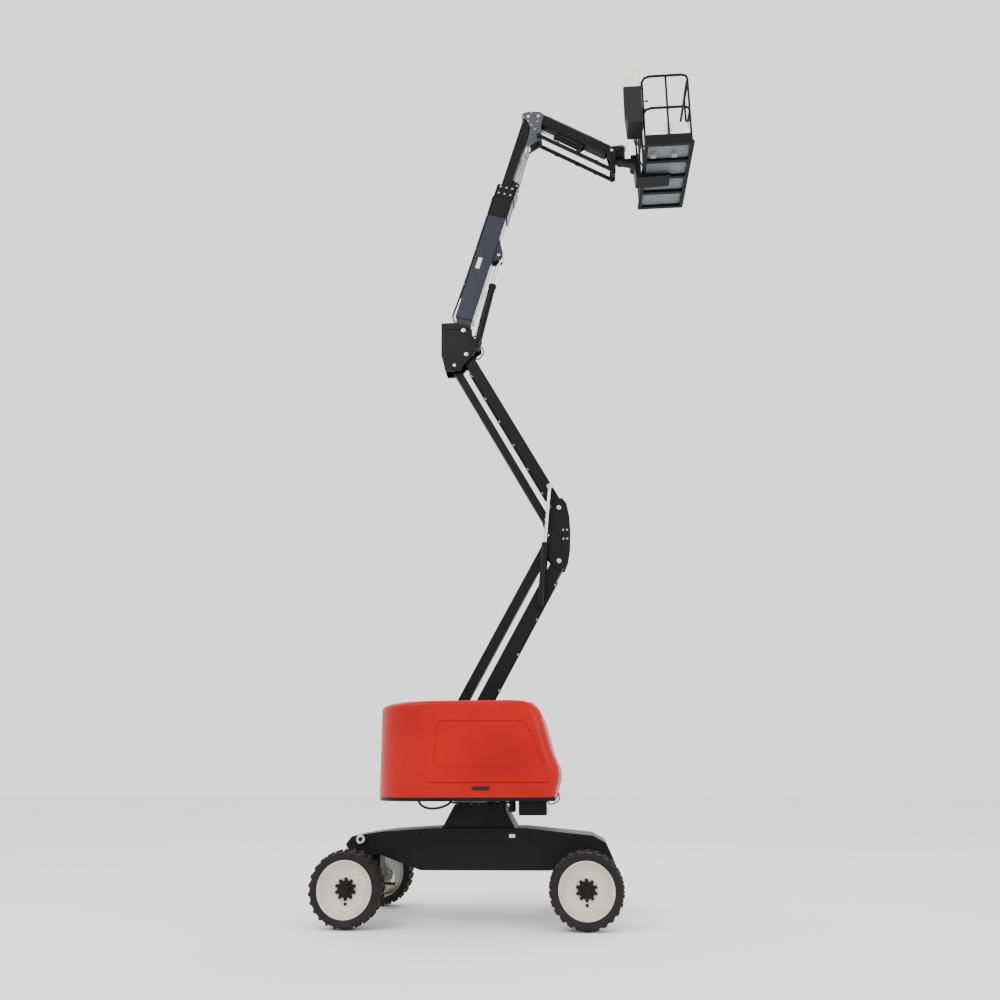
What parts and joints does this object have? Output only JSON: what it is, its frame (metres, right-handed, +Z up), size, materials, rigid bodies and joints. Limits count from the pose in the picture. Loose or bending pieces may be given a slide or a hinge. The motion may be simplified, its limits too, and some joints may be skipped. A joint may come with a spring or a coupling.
{
  "type": "articulating boom lift",
  "caption": "Wheeled chassis with a swinging turntable, a folding riser, a telescoping boom and a jib that carries a railed work platform.",
  "frame": {"origin": "on the ground under the middle of the machine's whole length", "axes": "+X from the counterweight towards the platform, +Y to the machine's left side, +Z up"},
  "size_m": [4.915, 2.3, 11.63],
  "materials": {
    "hood_red": "moulded red cover, gloss",
    "frame_black": "black paint, satin",
    "boom_blue_grey": "blue-grey paint, satin",
    "light_grey_paint": "light grey paint",
    "rim_cream": "off-white wheel paint",
    "tyre_rubber": "black rubber, matt",
    "chrome_rod": "hard chrome, polished",
    "bare_steel": "machined steel",
    "engine_grey": "cast engine block, painted grey",
    "deck_grating": "perforated deck sheet",
    "console_black": "black moulded box",
    "console_grey": "light grey moulded cover"
  },
  "bodies": {
    "chassis": {"chassis_frame": "frame_black", "fixed_axle": "frame_black", "steer_axle": "frame_black", "swing_bearing": "bare_steel"},
    "knuckle_left": {"knuckle_left": "frame_black"},
    "knuckle_right": {"knuckle_right": "frame_black"},
    "steer_rod": {"steer_rod": "chrome_rod"},
    "wheel_rear_left": {"rim_rear_left": "rim_cream", "tyre_rear_left": "tyre_rubber"},
    "wheel_rear_right": {"rim_rear_right": "rim_cream", "tyre_rear_right": "tyre_rubber"},
    "wheel_front_left": {"rim_front_left": "rim_cream", "tyre_front_left": "tyre_rubber"},
    "wheel_front_right": {"rim_front_right": "rim_cream", "tyre_front_right": "tyre_rubber"},
    "turntable": {"turntable_frame": "frame_black", "counterweight": "frame_black", "engine_block": "engine_grey", "power_tray": "frame_black"},
    "hood_right": {"hood_right": "hood_red"},
    "hood_left": {"hood_left": "hood_red"},
    "lower_arm": {"lower_arm": "frame_black"},
    "lower_link": {"lower_link": "frame_black"},
    "knee": {"knee": "frame_black"},
    "upper_arm": {"upper_arm": "frame_black"},
    "upper_link": {"upper_link": "frame_black"},
    "upright": {"upright": "frame_black"},
    "riser_barrels": {"riser_barrels": "frame_black"},
    "riser_rods": {"riser_rod_right": "chrome_rod", "riser_rod_left": "chrome_rod"},
    "main_boom": {"main_boom": "boom_blue_grey"},
    "lift_barrel": {"lift_barrel": "frame_black"},
    "lift_rod": {"lift_rod": "chrome_rod"},
    "fly_boom": {"fly_boom": "frame_black"},
    "jib_head": {"jib_head": "light_grey_paint"},
    "level_barrel": {"level_barrel": "light_grey_paint"},
    "level_rod": {"level_rod": "chrome_rod"},
    "jib_arm": {"jib_arm": "frame_black"},
    "jib_link": {"jib_link": "frame_black"},
    "jib_end": {"jib_end": "frame_black"},
    "jib_barrel": {"jib_barrel": "frame_black"},
    "jib_rod": {"jib_rod": "chrome_rod"},
    "platform": {"platform_support": "frame_black", "platform_frame": "frame_black", "platform_deck": "deck_grating", "platform_rails": "frame_black", "console_box": "console_black", "console_cover": "console_grey"},
    "gate": {"gate": "frame_black"}
  },
  "joints": [
    {"name": "steer_left", "type": "hinge", "parent": "chassis", "child": "knuckle_left", "pos_m": [-2.0375, 0.78, 0.42], "axis": [0, 0, 1], "range_deg": [-35, 35]},
    {"name": "steer_right", "type": "hinge", "parent": "chassis", "child": "knuckle_right", "pos_m": [-2.0375, -0.78, 0.42], "axis": [0, 0, 1], "range_deg": [-35.5, 35.5]},
    {"name": "steer_rod_slide", "type": "slide", "parent": "chassis", "child": "steer_rod", "axis": [0, 1, 0], "range_m": [-0.12006, 0.12006]},
    {"name": "wheel_rear_left_spin", "type": "hinge", "parent": "knuckle_left", "child": "wheel_rear_left", "pos_m": [-2.0375, 0.99, 0.42], "axis": [0, 1, 0], "continuous": true},
    {"name": "wheel_rear_right_spin", "type": "hinge", "parent": "knuckle_right", "child": "wheel_rear_right", "pos_m": [-2.0375, -0.99, 0.42], "axis": [0, 1, 0], "continuous": true},
    {"name": "wheel_front_left_spin", "type": "hinge", "parent": "chassis", "child": "wheel_front_left", "pos_m": [0.6425, 0.99, 0.42], "axis": [0, 1, 0], "continuous": true},
    {"name": "wheel_front_right_spin", "type": "hinge", "parent": "chassis", "child": "wheel_front_right", "pos_m": [0.6425, -0.99, 0.42], "axis": [0, 1, 0], "continuous": true},
    {"name": "swing", "type": "hinge", "parent": "chassis", "child": "turntable", "pos_m": [-0.6175, 0, 1.33], "axis": [0, 0, 1], "continuous": true},
    {"name": "hood_right_open", "type": "hinge", "parent": "turntable", "child": "hood_right", "pos_m": [-0.6975, -0.24, 2.475], "axis": [-1, 0, 0], "range_deg": [0, 60]},
    {"name": "hood_left_open", "type": "hinge", "parent": "turntable", "child": "hood_left", "pos_m": [-0.6975, 0.24, 2.475], "axis": [1, 0, 0], "range_deg": [0, 60]},
    {"name": "riser_lift", "type": "hinge", "parent": "turntable", "child": "lower_arm", "pos_m": [-1.11727, 0, 1.56], "axis": [0, -1, 0], "range_deg": [-63.5, 4]},
    {"name": "lower_link_turn", "type": "hinge", "parent": "turntable", "child": "lower_link", "pos_m": [-1.28727, 0, 1.755], "axis": [0, -1, 0], "range_deg": [-63.8, 4.3]},
    {"name": "knee_level", "type": "hinge", "parent": "lower_arm", "child": "knee", "pos_m": [0.4105, 0, 4.339], "axis": [0, -1, 0], "range_deg": [-4.3, 63.8]},
    {"name": "upper_arm_turn", "type": "hinge", "parent": "knee", "child": "upper_arm", "pos_m": [0.4245, 0, 5.07], "axis": [0, 1, 0], "range_deg": [-63.8, 4.3]},
    {"name": "upper_link_turn", "type": "hinge", "parent": "knee", "child": "upper_link", "pos_m": [0.2545, 0, 4.905], "axis": [0, 1, 0], "range_deg": [-63.8, 4.3]},
    {"name": "upright_level", "type": "hinge", "parent": "upper_arm", "child": "upright", "pos_m": [-0.83432, 0, 7.35979], "axis": [0, 1, 0], "range_deg": [-4.3, 63.8]},
    {"name": "riser_barrel_turn", "type": "hinge", "parent": "lower_arm", "child": "riser_barrels", "pos_m": [0.15891, 0, 3.79833], "axis": [0, -1, 0], "range_deg": [-3.26, 47.23]},
    {"name": "riser_rod_slide", "type": "slide", "parent": "riser_barrels", "child": "riser_rods", "axis": [0.0947, 0, 0.9955], "range_m": [-0.73488, 0.05004]},
    {"name": "main_lift", "type": "hinge", "parent": "upright", "child": "main_boom", "pos_m": [-0.87832, 0, 7.73479], "axis": [0, -1, 0], "range_deg": [-70, 2.5]},
    {"name": "lift_barrel_turn", "type": "hinge", "parent": "upright", "child": "lift_barrel", "pos_m": [-0.70332, 0, 7.51979], "axis": [0, -1, 0], "range_deg": [-69.57, 2.77]},
    {"name": "lift_rod_slide", "type": "slide", "parent": "lift_barrel", "child": "lift_rod", "axis": [0.2291, 0, 0.9734], "range_m": [-0.32159, 0.01534]},
    {"name": "telescope", "type": "slide", "parent": "main_boom", "child": "fly_boom", "axis": [0.284, 0, 0.9588], "range_m": [0, 1.25]},
    {"name": "jib_head_level", "type": "hinge", "parent": "fly_boom", "child": "jib_head", "pos_m": [0.08713, 0, 11.32858], "axis": [0, -1, 0], "range_deg": [-2.8, 70.3]},
    {"name": "level_barrel_turn", "type": "hinge", "parent": "fly_boom", "child": "level_barrel", "pos_m": [-0.09886, 0, 10.13735], "axis": [0, -1, 0], "range_deg": [-17.72, 0.92]},
    {"name": "level_rod_slide", "type": "slide", "parent": "level_barrel", "child": "level_rod", "axis": [0.2564, 0, 0.9666], "range_m": [-0.02133, 0.48919]},
    {"name": "jib_lift", "type": "hinge", "parent": "jib_head", "child": "jib_arm", "pos_m": [0.24213, 0, 11.32858], "axis": [0, -1, 0], "range_deg": [-28, 100]},
    {"name": "jib_link_turn", "type": "hinge", "parent": "jib_head", "child": "jib_link", "pos_m": [0.24213, 0, 10.96858], "axis": [0, -1, 0], "range_deg": [-28.3, 100.3]},
    {"name": "jib_end_level", "type": "hinge", "parent": "jib_arm", "child": "jib_end", "pos_m": [1.33611, 0, 10.64498], "axis": [0, -1, 0], "range_deg": [-100.3, 28.3]},
    {"name": "jib_barrel_turn", "type": "hinge", "parent": "jib_arm", "child": "jib_barrel", "pos_m": [0.84638, 0, 10.78592], "axis": [0, -1, 0], "range_deg": [-0.57, 1.26]},
    {"name": "jib_rod_slide", "type": "slide", "parent": "jib_barrel", "child": "jib_rod", "axis": [-0.8448, 0, 0.535], "range_m": [-0.07022, 0.2405]},
    {"name": "platform_turn", "type": "hinge", "parent": "jib_end", "child": "platform", "pos_m": [1.4675, 0, 10.64498], "axis": [0, 0, 1], "range_deg": [-80, 80]},
    {"name": "gate_open", "type": "hinge", "parent": "platform", "child": "gate", "pos_m": [1.8868, 0.755, 10.87], "axis": [0, 0, -1], "range_deg": [0, 90]}
  ],
  "couplings": [
    {"joint": "steer_right", "follows": "steer_left", "ratio": 1},
    {"joint": "steer_rod_slide", "follows": "steer_left", "m_per_rad": 0.19},
    {"joint": "lower_link_turn", "follows": "riser_lift", "ratio": 1},
    {"joint": "knee_level", "follows": "riser_lift", "ratio": -1},
    {"joint": "upper_arm_turn", "follows": "riser_lift", "ratio": 1},
    {"joint": "upper_link_turn", "follows": "riser_lift", "ratio": 1},
    {"joint": "upright_level", "follows": "riser_lift", "ratio": -1},
    {"joint": "riser_barrel_turn", "follows": "riser_lift", "ratio": -0.73904},
    {"joint": "riser_rod_slide", "follows": "riser_lift", "m_per_rad": 0.65947},
    {"joint": "lift_barrel_turn", "follows": "main_lift", "ratio": 0.98961},
    {"joint": "lift_rod_slide", "follows": "main_lift", "m_per_rad": 0.25995},
    {"joint": "jib_head_level", "follows": "main_lift", "ratio": -1},
    {"joint": "level_barrel_turn", "follows": "main_lift", "ratio": 0.24883},
    {"joint": "level_rod_slide", "follows": "main_lift", "m_per_rad": -0.39714},
    {"joint": "jib_link_turn", "follows": "jib_lift", "ratio": 1},
    {"joint": "jib_end_level", "follows": "jib_lift", "ratio": -1},
    {"joint": "jib_barrel_turn", "follows": "jib_lift", "ratio": 0.0095927},
    {"joint": "jib_rod_slide", "follows": "jib_lift", "m_per_rad": 0.1355}
  ]
}
